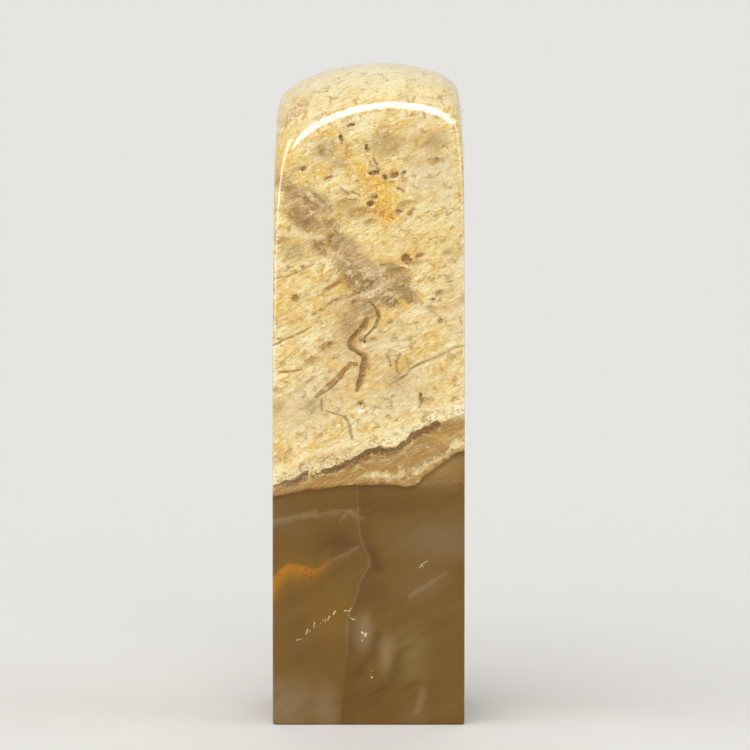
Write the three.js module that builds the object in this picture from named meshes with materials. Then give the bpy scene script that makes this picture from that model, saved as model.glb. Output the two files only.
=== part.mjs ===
// A blank square seal, cut and ground from one piece of soft carving stone, standing on its seal face.
// Millimetres, +Z up. The origin is the middle of the seal face, and the front wall faces -Y.
// Four flat walls rise square from the seal face. High up they draw in, and they turn over a
// rounded shoulder into an arched crown that was rubbed down by hand, one corner more than another.

import * as THREE from 'three';

// Driving sizes of the stone
const SIDE = 25; // from one flat wall to the wall opposite
const HEIGHT = 85.7; // from the seal face to the top of the crown
const CROWN_RADIUS = 30; // arch of the crown at its top
const CROWN_SHIFT = 1.9; // the top of the crown lies this far right of the middle
const CROWN_SKEW = 0.2; // the ridge of the crown leans right by this for each millimetre frontwards
const SHOULDER_RADIUS = 1.8; // tightest round where a wall turns into the crown
const SHOULDER_DEPTH = 45; // a wall starts to draw in this far below the crown
const EDGE_RADIUS = 0.3; // round on the four upright edges near the seal face
const EDGE_DEPTH = 60; // the upright edges start to open out this far below the crown
const FACE_EDGE_RADIUS = 0.35; // round between the walls and the seal face

// Tightest round where each upright edge runs out into the crown.
// The front left one was rubbed down the most.
const CORNER_RADII = { frontRight: 2.4, backRight: 3, backLeft: 3, frontLeft: 3.6 };

// How finely the curved surfaces are divided
const STEPS_ROUND_EDGE = 4;
const STEPS_ALONG_WALL = 18;
const FACE_EDGE_RINGS = 4;
const SHOULDER_RINGS = 24;
const CAP_RINGS = 8;
const SPREAD_DEPTH = 12; // the points of a ring start to spread out this far below the crown
const CAP_DROP = 0.25; // the shoulder ends and the cap starts this far below the arch of the crown
const HALVINGS = 40;

const HALF_SIDE = SIDE / 2;
const QUARTER_TURN = Math.PI / 2;
const STEPS_PER_SIDE = STEPS_ROUND_EDGE + STEPS_ALONG_WALL;

const CORNERS = [
  { right: 1, back: -1, radius: CORNER_RADII.frontRight },
  { right: 1, back: 1, radius: CORNER_RADII.backRight },
  { right: -1, back: 1, radius: CORNER_RADII.backLeft },
  { right: -1, back: -1, radius: CORNER_RADII.frontLeft },
];

// The hyperbola y = product / x is tightest at its middle, where its radius is the one given
function hyperbolaProduct(radius) {
  return radius ** 2 / 2;
}

// The outline of the stone near its foot: round at the upright edges and straight along the walls.
// Points along a wall lie closest together near its ends.
function footOutline() {
  const outline = [];
  const flatEnd = HALF_SIDE - EDGE_RADIUS;
  CORNERS.forEach(({ right, back }, number) => {
    const edgeCentre = new THREE.Vector2(right * flatEnd, back * flatEnd);
    const firstAngle = (number - 1) * QUARTER_TURN;
    for (let step = 0; step <= STEPS_ROUND_EDGE; step += 1) {
      const angle = firstAngle + (step / STEPS_ROUND_EDGE) * QUARTER_TURN;
      const outwards = new THREE.Vector2(Math.cos(angle), Math.sin(angle));
      outline.push(edgeCentre.clone().addScaledVector(outwards, EDGE_RADIUS));
    }
    const alongAngle = firstAngle + 2 * QUARTER_TURN;
    const along = new THREE.Vector2(Math.cos(alongAngle), Math.sin(alongAngle));
    const wallStart = outline[outline.length - 1];
    for (let step = 1; step < STEPS_ALONG_WALL; step += 1) {
      const share = (1 - Math.cos((step / STEPS_ALONG_WALL) * Math.PI)) / 2;
      outline.push(wallStart.clone().addScaledVector(along, share * 2 * flatEnd));
    }
  });
  return outline;
}

// As many points as the foot's outline has, at even distances round a sharp square.
// The middle of each rounded edge goes with a corner of the square.
function evenOutline() {
  const outline = [];
  const cornerPoints = CORNERS.map(
    ({ right, back }) => new THREE.Vector2(right * HALF_SIDE, back * HALF_SIDE),
  );
  for (let number = 0; number < CORNERS.length * STEPS_PER_SIDE; number += 1) {
    const position = (number - STEPS_ROUND_EDGE / 2) / STEPS_PER_SIDE + CORNERS.length;
    const side = Math.floor(position);
    const start = cornerPoints[side % CORNERS.length];
    const end = cornerPoints[(side + 1) % CORNERS.length];
    outline.push(start.clone().lerp(end, position - side));
  }
  return outline;
}

// The arched surface that the crown follows, at any point across the stone
function archHeight({ x, y }) {
  const acrossRidge = x - CROWN_SHIFT + CROWN_SKEW * y;
  return HEIGHT - (acrossRidge ** 2 + y ** 2) / (2 * CROWN_RADIUS);
}

// How far the four walls and the four upright edges, taken together, pull the surface down from the arch.
// Each pull is a hyperbola: very strong close to the wall or the edge, and hardly felt far from it.
function pullFromSides({ x, y }) {
  const wallProduct = hyperbolaProduct(SHOULDER_RADIUS);
  const closest = wallProduct / SHOULDER_DEPTH;
  const insets = [HALF_SIDE - x, HALF_SIDE + x, HALF_SIDE - y, HALF_SIDE + y];
  const wallPull = insets.reduce((sum, inset) => sum + wallProduct / (inset + closest), 0);
  const edgePull = CORNERS.reduce((sum, { right, back, radius }) => {
    const inset = (SIDE - right * x - back * y) / Math.SQRT2;
    return sum + hyperbolaProduct(radius) / inset;
  }, 0);
  return wallPull + edgePull;
}

const CROWN_TOP = new THREE.Vector2(CROWN_SHIFT, 0);
const PULL_AT_TOP = pullFromSides(CROWN_TOP);

// Where the surface lies a given drop below the arch, on the way out from the crown's top to the outline
function pointAtDrop(outlinePoint, drop) {
  let inner = 0;
  let outer = 1;
  for (let halving = 0; halving < HALVINGS; halving += 1) {
    const middle = (inner + outer) / 2;
    const point = CROWN_TOP.clone().lerp(outlinePoint, middle);
    if (pullFromSides(point) - PULL_AT_TOP <= drop) {
      inner = middle;
    } else {
      outer = middle;
    }
  }
  return CROWN_TOP.clone().lerp(outlinePoint, inner);
}

// The rings at the foot of the walls, from the flat seal face up round its edge
function footRings(outline) {
  const rings = [];
  for (let step = 0; step <= FACE_EDGE_RINGS; step += 1) {
    const turn = (step / FACE_EDGE_RINGS) * QUARTER_TURN;
    const shrink = 1 - (FACE_EDGE_RADIUS * (1 - Math.sin(turn))) / HALF_SIDE;
    const height = FACE_EDGE_RADIUS * (1 - Math.cos(turn));
    rings.push(outline.map(({ x, y }) => new THREE.Vector3(x * shrink, y * shrink, height)));
  }
  return rings;
}

// The rings from low on the upright edges up over the shoulder.
// Each ring lies at one drop below the arch, and the drops shrink by the same share from ring to ring.
// Low down they crowd round the upright edges, and higher up they spread out over the crown.
function shoulderRings(footPoints, evenPoints) {
  const rings = [];
  for (let step = 0; step < SHOULDER_RINGS; step += 1) {
    const drop = EDGE_DEPTH * (CAP_DROP / EDGE_DEPTH) ** (step / (SHOULDER_RINGS - 1));
    const evenness = Math.max(0, 1 - Math.sqrt(drop / SPREAD_DEPTH));
    rings.push(
      footPoints.map((footPoint, number) => {
        const point = pointAtDrop(footPoint.clone().lerp(evenPoints[number], evenness), drop);
        return new THREE.Vector3(point.x, point.y, archHeight(point) - drop);
      }),
    );
  }
  return rings;
}

// The rings on the cap of the crown, which shrink evenly from the end of the shoulder to the top
function capRings(shoulderEnd) {
  const rings = [];
  for (let step = 1; step < CAP_RINGS; step += 1) {
    rings.push(
      shoulderEnd.map(({ x, y }) => {
        const point = CROWN_TOP.clone().lerp(new THREE.Vector2(x, y), 1 - step / CAP_RINGS);
        const drop = pullFromSides(point) - PULL_AT_TOP;
        return new THREE.Vector3(point.x, point.y, archHeight(point) - drop);
      }),
    );
  }
  return rings;
}

// Joins the rings into one closed surface, with a middle point in the seal face and one at the top
function loft(rings, bottom, top) {
  const count = rings[0].length;
  const points = [bottom, ...rings.flat(), top];
  const topIndex = points.length - 1;
  const indexOf = (level, spoke) => 1 + level * count + (spoke % count);
  const triangles = [];
  for (let spoke = 0; spoke < count; spoke += 1) {
    triangles.push(0, indexOf(0, spoke + 1), indexOf(0, spoke));
    for (let level = 0; level < rings.length - 1; level += 1) {
      const low = indexOf(level, spoke);
      const lowNext = indexOf(level, spoke + 1);
      const high = indexOf(level + 1, spoke);
      const highNext = indexOf(level + 1, spoke + 1);
      triangles.push(low, lowNext, highNext, low, highNext, high);
    }
    triangles.push(indexOf(rings.length - 1, spoke), indexOf(rings.length - 1, spoke + 1), topIndex);
  }
  const geometry = new THREE.BufferGeometry().setFromPoints(points);
  geometry.setIndex(triangles);
  geometry.computeVertexNormals();
  return geometry;
}

// The whole stone, which is the only piece
function sealStone() {
  const outline = footOutline();
  const shoulder = shoulderRings(outline, evenOutline());
  const rings = [...footRings(outline), ...shoulder, ...capRings(shoulder[SHOULDER_RINGS - 1])];
  const middleOfFace = new THREE.Vector3(0, 0, 0);
  const topOfCrown = new THREE.Vector3(CROWN_TOP.x, CROWN_TOP.y, HEIGHT);
  const polishedStone = new THREE.MeshStandardMaterial({ color: '#d8bf8a', roughness: 0.3, metalness: 0 });
  const mesh = new THREE.Mesh(loft(rings, middleOfFace, topOfCrown), polishedStone);
  mesh.name = 'seal_stone';
  return mesh;
}

const seal = new THREE.Group();
seal.add(sealStone());

export default seal;
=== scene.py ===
# Looks of the blank square seal: one block of soft carving stone, ground flat, rubbed round on top,
# polished and waxed. Its upper part is opaque cream stone with ochre spots and a brown vein, and its
# foot is brown stone that light enters a little way. Lengths of the pattern are in millimetres, as seen
# on the front wall: x to the right and z up from the seal face. Lengths of the scene are in metres.

import math

import bpy
from mathutils import Euler, Matrix, Quaternion, Vector


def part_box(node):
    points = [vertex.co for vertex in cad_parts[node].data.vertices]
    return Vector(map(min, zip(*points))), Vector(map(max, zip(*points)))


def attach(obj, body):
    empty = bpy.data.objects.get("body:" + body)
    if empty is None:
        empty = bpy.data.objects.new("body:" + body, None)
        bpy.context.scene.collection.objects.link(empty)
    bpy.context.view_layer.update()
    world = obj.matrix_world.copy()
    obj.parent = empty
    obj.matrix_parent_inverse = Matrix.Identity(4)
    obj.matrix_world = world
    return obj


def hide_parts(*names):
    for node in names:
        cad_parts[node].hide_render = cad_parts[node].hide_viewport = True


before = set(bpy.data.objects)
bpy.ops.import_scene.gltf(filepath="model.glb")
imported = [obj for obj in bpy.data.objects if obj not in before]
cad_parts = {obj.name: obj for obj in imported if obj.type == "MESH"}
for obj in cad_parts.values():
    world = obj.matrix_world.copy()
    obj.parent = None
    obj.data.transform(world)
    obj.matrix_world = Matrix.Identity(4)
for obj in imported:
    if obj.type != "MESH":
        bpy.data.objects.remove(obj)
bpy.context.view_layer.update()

MM = 0.001
STONE_LOW, STONE_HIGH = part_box("seal_stone")
FRONT = STONE_LOW.y / MM

# How sheets run back from the front wall: millimetres to the side, down and about for each millimetre
SHEET_LEAN = -0.2
SHEET_DIP = 0.1
SHEET_WANDER = 0.9

SHIVER = 0.6  # how far a drawn edge is thrown about, in millimetres
THREAD_SHIVER = 2.4  # how far the pale threads in the smoke are thrown about
BEDDING_TURN = (math.radians(12), math.radians(30), math.radians(8))
THINNING = 0.06  # veins narrow by this for each millimetre that they run back from the front wall
ENDED = -12.0  # the width that stands for no line at all
SHARPER = 3.0  # how many times faster a fading mark ends on its sharp side
PAINTED_LIGHT_FROM = (-0.4, 0.0, 0.9)  # painted light and shade: what the bump leans this way is painted paler, and what it leans away browner

CROWN_PAINTED_LIGHT_FROM = 78.0  # the height from which the crown is painted paler towards its top, as painted light from above
FACE_EDGE = (0.02, 0.3)  # the heights between which the ground seal face turns into polished wall
FACE_WAX = 0.1  # how much of the wax's shine the seal face has
RELIEF_HEIGHT = 0.9  # how high the grain of the body stands, in millimetres

# How the mesh is refined, in millimetres
SUBDIVISIONS = 2
WELD = 0.001  # corners of the CAD triangles closer together than this are one
LUMP_SIZE = 0.35  # the lumps in the skin of a hollow
LUMP_RISE = 1.3  # their height as a share of the hollow's half height, and its most
LUMP_RISE_MOST = 0.8
HOLLOW_VOXEL = 0.05  # the finest detail of a hollow
SLIVER = 0.01  # points that cutting leaves closer together than this are merged
SMOOTH_ANGLE = math.radians(35)

# Colours, as they look in plain light
CREAM = "#F4DE9E"
CREAM_PALE = "#FFF3C6"
CREAM_GREY = "#DCC69A"
GOLD = "#E8BE5A"
GOLD_BRIGHT = "#F8CC3C"
TAN = "#CEA458"
OCHRE = "#A8701A"
UMBER = "#6C3E04"
ORANGE = "#CC8204"
SMOKE_PALE = "#B8925C"
SMOKE = "#A07A42"
SMOKE_DARK = "#7E5618"
THREAD = "#EBD5A4"
VEIN = "#8C621A"
VEIN_DARK = "#6A4502"
VEIN_LIGHT = "#BE9240"
BAND = "#6E4400"
BAND_LIGHT = "#AE7E30"
WEDGE_BROWN = "#A17A36"
BROWN = "#745214"
BROWN_DARK = "#62410B"
BROWN_GREY = "#7D633D"
BROWN_PALE = "#87704A"
BROWN_GOLD = "#815C0E"
BROWN_LIGHT = "#A07C40"
BROWN_OLIVE = "#7E682C"
BROWN_DEEP = "#55360A"
VEIL = "#A08A64"
STAIN = "#AE7200"
RUST = "#983206"
GLINT = "#F6ECC8"
SHADED = "#95640E"
CRUST = "#B28420"
CRUST_DARK = "#6E4A04"
CRUST_PALE = "#E8C878"
DISH = "#DCC090"
DISH_DARK = "#C09C66"
LIT = "#FFF0C4"


def linear(hex_colour):
    """An sRGB hex colour as linear red, green, blue and alpha."""
    parts = [int(hex_colour[i:i + 2], 16) / 255 for i in (1, 3, 5)]
    return [p / 12.92 if p <= 0.04045 else ((p + 0.055) / 1.055) ** 2.4 for p in parts] + [1.0]


def add(tree, kind, sockets=None, **settings):
    """Adds a node with its settings. A socket takes a value, or the node or output it is linked to."""
    made = tree.nodes.new(kind)
    for name, value in settings.items():
        setattr(made, name, value)
    for key, value in (sockets or {}).items():
        if isinstance(key, int):
            socket = made.inputs[key]
        else:
            socket = next(s for s in made.inputs if s.enabled and s.name == key)
        if isinstance(value, bpy.types.Node):
            value = next(s for s in value.outputs if s.enabled)
        if isinstance(value, bpy.types.NodeSocket):
            tree.links.new(value, socket)
        else:
            socket.default_value = value
    return made


def paint(tree, under, colour, value, none_at, full_at, strength=1.0):
    """Lays a colour over what is under it, from nothing where the value is none_at to its full
    strength where the value is full_at."""
    mask = add(tree, "ShaderNodeMapRange", {0: value, 1: none_at, 2: full_at, 3: 0.0, 4: strength},
               interpolation_type="SMOOTHSTEP")
    over = linear(colour) if isinstance(colour, str) else colour
    return add(tree, "ShaderNodeMix", {"Factor": mask, "A": under, "B": over}, data_type="RGBA")


def course(tree, run, rise, points):
    """How far beside a drawn line a place lies, and half the width of the line there, in mm.
    The line passes through points (run, rise, width), given in order along it."""
    found = []
    widths = [width if width >= 0 else ENDED for _, _, width in points]
    for heights in ([p[1] for p in points], [width / 2 for width in widths]):
        level = add(tree, "ShaderNodeFloatCurve", {"Value": run})
        level.mapping.use_clip = False
        level.mapping.extend = "HORIZONTAL"
        curve = level.mapping.curves[0]
        curve.points[0].location = (points[0][0], heights[0])
        curve.points[1].location = (points[-1][0], heights[-1])
        for point, height in list(zip(points, heights))[1:-1]:
            curve.points.new(point[0], height)
        for knot in curve.points:
            knot.handle_type = "AUTO_CLAMPED"
        level.mapping.update()
        found.append(level)
    offset = add(tree, "ShaderNodeMath", {0: rise, 1: found[0]}, operation="SUBTRACT")
    return offset, found[1]


def outside(tree, line):
    """Distance in mm from the edge of a drawn line, negative inside it."""
    offset, half_width = line
    apart = add(tree, "ShaderNodeMath", {0: offset}, operation="ABSOLUTE")
    return add(tree, "ShaderNodeMath", {0: apart, 1: half_width}, operation="SUBTRACT")


def fading_line(tree, line):
    """A distance that is sharp along a drawn line's upper side and fades out below its lower side."""
    offset, half_width = line
    above = add(tree, "ShaderNodeMath", {0: offset, 1: half_width}, operation="SUBTRACT")
    sharp = add(tree, "ShaderNodeMath", {0: above, 1: SHARPER}, operation="MULTIPLY")
    under = add(tree, "ShaderNodeMath", {0: offset, 1: -1.0}, operation="MULTIPLY")
    below = add(tree, "ShaderNodeMath", {0: under, 1: half_width}, operation="SUBTRACT")
    return add(tree, "ShaderNodeMath", {0: sharp, 1: below}, operation="MAXIMUM")


def drawing(name):
    """An empty node group that turns a place in millimetres into how far it is from what is drawn."""
    group = bpy.data.node_groups.new(name, "ShaderNodeTree")
    group.interface.new_socket("Place", in_out="INPUT", socket_type="NodeSocketVector")
    group.interface.new_socket("Distance", in_out="OUTPUT", socket_type="NodeSocketFloat")
    return group, add(group, "NodeGroupInput")


def fading_spots(tree, drawn, place, reach):
    """The distance of spots already drawn, changed so that they fade out down to the right. The lopsided fade
    is painted shade: a crisp, full upper-left side, as in a hollow lit from above left.
    """
    moved = add(tree, "ShaderNodeVectorMath", {0: place, 1: (reach, 0, -reach)}, operation="ADD")
    beyond = add(tree, "ShaderNodeGroup", {0: moved}, node_tree=drawn.node_tree)
    sharp = add(tree, "ShaderNodeMath", {0: drawn, 1: SHARPER}, operation="MULTIPLY")
    return add(tree, "ShaderNodeMath", {0: sharp, 1: beyond}, operation="MAXIMUM")


def lengths(tree, place, ways):
    """How far a place lies along each of several ways."""
    return [add(tree, "ShaderNodeVectorMath", {0: place, 1: way}, operation="DOT_PRODUCT").outputs["Value"]
            for way in ways]


def turned(tree, place, ways):
    """A place measured along three other ways."""
    return add(tree, "ShaderNodeCombineXYZ", dict(enumerate(lengths(tree, place, ways))))


def keep_nearest(tree, nearest, distance):
    """The smaller of two distances, or the second where there is no first."""
    if nearest is None:
        return distance
    return add(tree, "ShaderNodeMath", {0: nearest, 1: distance}, operation="MINIMUM")


def strokes(tree, place, several):
    """Distance in mm from the edge of the nearest of several straight strokes, negative inside it.
    A stroke is x, z at one end, x, z at the other, and its width."""
    group, entry = drawing("strokes")
    nearest = None
    for x0, z0, x1, z1, width in several:
        run = Vector((x1 - x0, 0, z1 - z0))
        start = add(group, "ShaderNodeVectorMath", {0: entry, 1: (x0, 0, z0)}, operation="SUBTRACT")
        share = add(group, "ShaderNodeVectorMath", {0: start, 1: run / run.length_squared},
                    operation="DOT_PRODUCT")
        held = add(group, "ShaderNodeClamp", {0: share.outputs["Value"]})
        closest = add(group, "ShaderNodeVectorMath", {0: run, 3: held}, operation="SCALE")
        apart = add(group, "ShaderNodeVectorMath", {0: start, 1: closest}, operation="DISTANCE")
        edge = add(group, "ShaderNodeMath", {0: apart.outputs["Value"], 1: width / 2}, operation="SUBTRACT")
        nearest = keep_nearest(group, nearest, edge)
    add(group, "NodeGroupOutput", {0: nearest})
    return add(tree, "ShaderNodeGroup", {0: place}, node_tree=group)


def spots(tree, place, several, turn=0.0, stretch=1.0):
    """Distance in mm from the edge of the nearest of several oval spots, negative inside it.
    A spot is x, z and half its height. It is longer than high by the stretch, and turned by
    the turn in degrees, up to the right."""
    group, entry = drawing("spots")
    angle = math.radians(turn)
    level = turned(group, entry, [(math.cos(angle) / stretch, 0, math.sin(angle) / stretch), (0, 1, 0),
                                  (-math.sin(angle), 0, math.cos(angle))])
    nearest = None
    for x, z, half_height in several:
        middle = ((x * math.cos(angle) + z * math.sin(angle)) / stretch, FRONT,
                  z * math.cos(angle) - x * math.sin(angle))
        apart = add(group, "ShaderNodeVectorMath", {0: level, 1: middle}, operation="DISTANCE")
        edge = add(group, "ShaderNodeMath", {0: apart.outputs["Value"], 1: half_height}, operation="SUBTRACT")
        nearest = keep_nearest(group, nearest, edge)
    add(group, "NodeGroupOutput", {0: nearest})
    return add(tree, "ShaderNodeGroup", {0: place}, node_tree=group)


# Pattern of the front wall

# Lines across the wall are points (x, z, width), and lines down it are points (z, x, width).
# A width below nothing ends a line.

# The smoky river that comes in from the left below the crown and runs down into the vein
RIVER_MOUTH = [
    (-16, 71.9, 0.6), (-12.1, 71, 1), (-10.4, 69.8, 2.4), (-9, 68.4, 3.6), (-7.2, 67, 1), (-6.4, 66.4, -1),
]
RIVER = [
    (52.6, -1.8, -1), (53.6, -0.9, 2), (54.8, 0.3, 3.8), (56.2, 1.2, 5.4), (57.6, 1.2, 6.6), (59, 0.2, 6.4),
    (60.6, -1.4, 4.2), (62.2, -3, 3), (64, -5.2, 2.6), (66, -7.4, 2.8), (67.8, -8.8, 3.2), (69.4, -9.4, 2),
    (70.4, -9.8, -1),
]
SMOKE_BANKS = [
    (-6.8, 68.3, 1), (-8.4, 66, 1.2), (-3.8, 62.9, 1), (-6.2, 62.4, 0.7), (-2.6, 59.9, 0.9), (-0.4, 58, 2),
    (3.7, 59, 0.9), (4.6, 56.6, 0.9), (2.2, 56, 1), (-0.8, 54.8, 0.9), (-4.9, 65.4, 0.5), (-9.9, 69.4, 0.6),
]
SMOKE_PATCHES = [
    (-5.6, 75, 1.4), (-4, 73.4, 0.9), (2.2, 75.6, 1.6), (8.5, 76, 1.2), (-7.4, 42, 0.8), (3.6, 45.4, 0.8),
    (-12, 41.5, 0.8), (-9.8, 61.9, 1),
]

# Pale threads that cross the river: x, z at one end, x, z at the other, and the width
RIVER_THREADS = [
    (-3.7, 60.9, -2.4, 59.9, 0.16), (-2.7, 58.9, 0.4, 59.8, 0.2), (-1.6, 57.8, 1.3, 59.4, 0.16),
    (-0.9, 55.9, 1.7, 57.2, 0.16), (0.6, 58.4, 2.3, 59.8, 0.14), (1.3, 58.8, 2, 57.3, 0.16),
    (-2.4, 55.7, 0, 56.6, 0.14), (-5.6, 62.2, -3.5, 61.2, 0.2), (-9, 64.2, -5.7, 63.5, 0.3),
    (-10.7, 64.6, -8.1, 63.7, 0.3), (1.6, 57.4, 3.5, 58.1, 0.16), (2.2, 56.5, 4, 55.9, 0.14),
    (-7.2, 68.6, -5.6, 67.5, 0.2), (-8.1, 69.6, -6.3, 68, 0.2),
]

# The brown vein that winds down the middle, a thinner channel at its head, and the branch to the left
MAIN_VEIN = [
    (42.9, -1.6, -0.3), (43.5, -1.55, 0.25), (44.2, -1.35, 0.65), (45.7, -0.85, 0.95), (47.2, -0.6, 0.95),
    (48.15, -0.42, 1), (48.6, -0.95, 1.5), (48.95, -1.7, 1.5), (49.35, -2.15, 1.1), (50, -2.3, 0.95),
    (50.7, -1.9, 1.2), (51.6, -1, 1.25), (52.5, -0.5, 0.9), (53.4, -0.1, 0.4), (54.2, 0.2, -0.3),
]
SIDE_CHANNEL = [
    (50.1, -0.8, -0.2), (50.6, -0.5, 0.35), (51.3, 0.1, 0.4), (52.1, 0.85, 0.5), (53.4, 1.3, 0.6),
    (54.3, 1.1, 0.6), (55.3, 0.3, 0.6), (56, -0.5, -0.3),
]
VEIN_BRANCH = [
    (-7.5, 42.6, -0.1), (-7, 42.9, 0.3), (-5.8, 43.8, 0.85), (-4.8, 44.6, 1.1), (-3.7, 45.7, 1.1),
    (-2.85, 46.7, 0.95), (-2.15, 47.25, 0.65), (-1.35, 47.2, 0.4), (-0.9, 47, -0.1),
]

# Hair cracks, slits, a fold and ochre lines along the bedding
LONG_CRACK = [
    (3.6, 45.1, -0.2), (4.1, 45.4, 0.14), (4.8, 45.9, 0.2), (5.7, 46.7, 0.17), (7.4, 47.6, 0.15),
    (9.1, 48.3, 0.15), (10.3, 49, 0.13), (12.4, 49.7, 0.12), (16, 50.6, 0.1),
]
SHORT_CRACKS = [
    (2.4, 48.5, 2.9, 47.1, 0.2), (4.1, 48.5, 3.5, 47.4, 0.24), (3.5, 47.4, 3.7, 46.3, 0.14),
    (6.7, 43.2, 6.9, 42.5, 0.3), (6.9, 42.5, 6.6, 41.8, 0.14), (-6.1, 42.6, -6, 41.3, 0.2),
    (0.6, 73.8, 1.1, 73.1, 0.24), (-3.4, 69.9, -2.6, 69.3, 0.2), (-2.1, 69.6, -1.2, 69.1, 0.18),
    (3.7, 70.1, 4.5, 69.6, 0.2), (7, 80, 7.25, 79.1, 0.14),
]
SLITS = [
    (-3.6, 76.9, -3.4, 75.9, 0.6), (-0.5, 75.8, 0.1, 74.7, 0.6), (5.3, 66.6, 5.9, 67.3, 0.5),
    (-2.6, 78, -1.8, 78.3, 0.5), (-6.3, 75.2, -5.8, 74.4, 0.7),
]
FOLD = [
    (36.6, -2.1, -0.3), (37.4, -2.1, 0.5), (38.3, -2.3, 0.4), (39.4, -2.5, 0.35), (40.2, -3, 0.5),
    (40.7, -4.2, 0.7), (41.1, -5.4, 0.5), (41.5, -6.3, -0.2),
]
OCHRE_LINES = [
    [(-16, 49.2, 0.3), (-13.5, 49.5, 0.25), (-12.2, 49.8, 0.25), (-10.4, 50.6, 0.3), (-8.9, 51.2, 0.2),
     (-7.4, 52.1, 0.15), (-6.4, 52.6, -0.1)],
    [(-12.4, 46, -0.1), (-11.6, 46.1, 0.3), (-10.1, 46.3, 0.35), (-8.6, 46.5, 0.12), (-8, 46.6, -0.1)],
    [(-12.6, 58.1, -0.1), (-11.8, 58.3, 0.12), (-9.8, 58.9, 0.16), (-7, 60.2, 0.12), (-6.4, 60.5, -0.1)],
    [(-7.4, 55.6, -0.1), (-6.6, 56, 0.14), (-4, 57.6, 0.18), (-0.6, 60, 0.14), (0.2, 60.5, -0.1)],
]

# Spots in the cream stone: x, z and half the height
TAN_SPOTS = [
    (-2.8, 67.8, 0.75), (-1.2, 66.7, 0.85), (0.3, 65.5, 0.5), (4.8, 67.8, 0.6), (-7.2, 47.5, 0.6),
    (7.6, 42.4, 0.5), (-11.2, 63, 0.6), (8.8, 73.4, 0.5), (-6, 66.9, 0.5), (1.9, 77.8, 0.35),
    (-10.6, 76.6, 0.45), (3.2, 83.2, 0.3), (-1.2, 81.4, 0.3), (0.6, 50.3, 0.32), (-5.3, 49.3, 0.75),
    (4.3, 59, 0.6), (10.2, 61.6, 0.4), (-12.2, 43.6, 0.45), (6, 60.2, 0.4), (-9.4, 79.9, 0.8),
]
OCHRE_SPOTS = [
    (-5, 78.9, 0.26), (-9.6, 72.3, 0.3), (7.4, 77.6, 0.22), (9.2, 56.4, 0.38), (5.6, 55.2, 0.24),
    (-7, 53.7, 0.26), (-6.1, 54.2, 0.22), (6.2, 63.1, 0.15), (6.9, 63.5, 0.13), (8.1, 63.4, 0.14),
    (8.9, 63.6, 0.12), (10.6, 70, 0.16), (3.3, 43, 0.2), (2.8, 52.6, 0.25), (10.6, 57.9, 0.17),
    (7.8, 54.5, 0.2), (5.4, 50.4, 0.17), (-8, 84, 0.18), (-6, 82.6, 0.2), (6.6, 61.2, 0.38),
    (8.9, 73.6, 0.24), (-5.1, 71.3, 0.36), (-8.5, 72.6, 0.36), (2.1, 60, 0.22), (-11.4, 66.4, 0.2),
]
LONG_SPOTS = [
    (-4.5, 57.4, 0.34), (-4.4, 55.3, 0.28), (1, 72, 0.22), (-2.3, 78.2, 0.24),
]
ROUND_SPOTS = [
    (-9.4, 55.7, 0.58), (-10.3, 59.7, 0.3), (-8.4, 59.7, 0.3), (-1.9, 55.2, 0.34), (9.3, 52.8, 0.4),
    (-5, 49.6, 0.4), (-5.75, 49.2, 0.3),
]
BROWN_SPOTS = [
    (0.7, 72.05, 0.24), (2.1, 71.4, 0.26), (3.3, 71.6, 0.26), (0.8, 68.8, 0.22), (0.25, 68, 0.32),
    (4.75, 60.95, 0.36), (5.2, 60.55, 0.28), (8.3, 55.6, 0.17), (-1.1, 42.1, 0.2), (-0.9, 50.3, 0.2),
    (3.9, 67, 0.3), (8.9, 73.8, 0.14), (4.4, 71.9, 0.16),
]
ORANGE_SPOTS = [
    (4.4, 71.2, 0.4), (1.7, 66.8, 0.4), (2.9, 66.3, 0.32), (0.8, 66.9, 0.3), (-2.7, 74.5, 0.34),
    (3, 72.2, 0.2), (-9.2, 72.7, 0.24), (-1.4, 70.8, 0.24), (-0.2, 69.4, 0.22),
]

# Where the cream stone is netted with fine golden crumbs
GOLDEN_NET = [
    (64.6, 2.6, -1), (65.6, 2.4, 3.6), (66.6, 1.9, 5.4), (68.6, 1.6, 5.6), (70.4, 1.4, 6.4), (71.6, 0.4, 6),
    (73, -1.4, 2.6), (75, -3, 2), (76.2, -3.4, -0.6),
]

# Broad changes of tone: colour, x, z, half length, half height, turn and strength
CREAM_PATCHES = [
    (CREAM_GREY, -7.5, 42, 6, 3.6, 25, 0.75), (CREAM_GREY, 4.5, 43.6, 6, 2.6, 25, 0.6),
    (CREAM_GREY, 11.6, 57, 3, 12, 0, 0.4), (CREAM_GREY, 8.5, 72, 4, 5, 20, 0.6),
    (TAN, 5, 76.6, 6, 2.4, 10, 0.4), (TAN, -3.6, 67.2, 3.4, 2.2, 0, 0.45), (TAN, -2.6, 52, 3.4, 7, 0, 0.6),
    (TAN, -8.6, 61.8, 3.6, 1.8, 10, 0.4), (TAN, 3, 46.6, 6, 3, 25, 0.4),
    (CREAM_GREY, 2, 50.5, 11, 2.4, 25, 0.4), (GOLD, -8, 55.6, 5, 4.6, 25, 0.2),
    (GOLD, 5.5, 62.4, 6, 3, 25, 0.5), (GOLD, -10.6, 74.6, 3, 3.4, 0, 0.4),
    (CREAM_PALE, -9, 78.6, 2.6, 1.6, 30, 0.5), (SMOKE_PALE, -2.4, 52.4, 1.6, 2.6, 0, 0.9),
    (TAN, -4.6, 34.6, 6, 1.4, 14, 0.5),
]

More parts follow.
